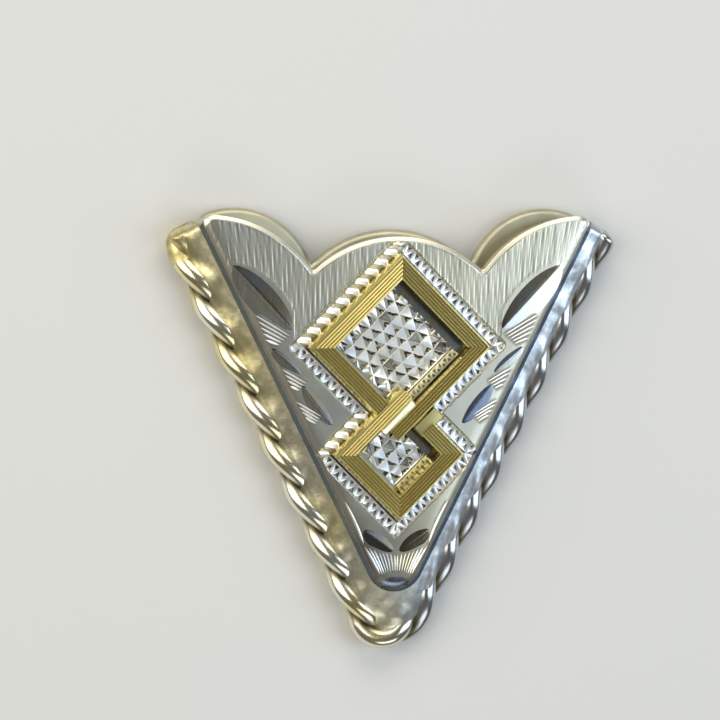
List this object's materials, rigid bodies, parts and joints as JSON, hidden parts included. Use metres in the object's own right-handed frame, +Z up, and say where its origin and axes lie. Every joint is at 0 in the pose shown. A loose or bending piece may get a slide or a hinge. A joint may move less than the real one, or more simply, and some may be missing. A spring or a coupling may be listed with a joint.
{
  "type": "collar tip",
  "caption": "Western collar tip: flat silver pocket with a scalloped mouth and a twisted wire edge, engraved, with interlocked gold squares on its face.",
  "frame": {"origin": "middle of the part's outline, on the surface that it lies on", "axes": "+Z up out of the engraved face, +Y towards the pocket's mouth, X across the part"},
  "size_m": [0.0372, 0.0358, 0.0052],
  "materials": {
    "engraved_silver": "polished silver with bright-cut engraving, darkened in the cuts",
    "plain_silver": "polished silver with fine scratches",
    "wire_silver": "polished silver, warm and slightly tarnished in the solder",
    "gold": "polished yellow gold, finely grooved",
    "steel": "turned"
  },
  "bodies": {
    "root": {"front_plate": "engraved_silver", "back_plate": "plain_silver", "rope_edge": "wire_silver", "upper_square": "gold", "lower_square": "gold", "clamp_screw": "steel"}
  },
  "joints": []
}
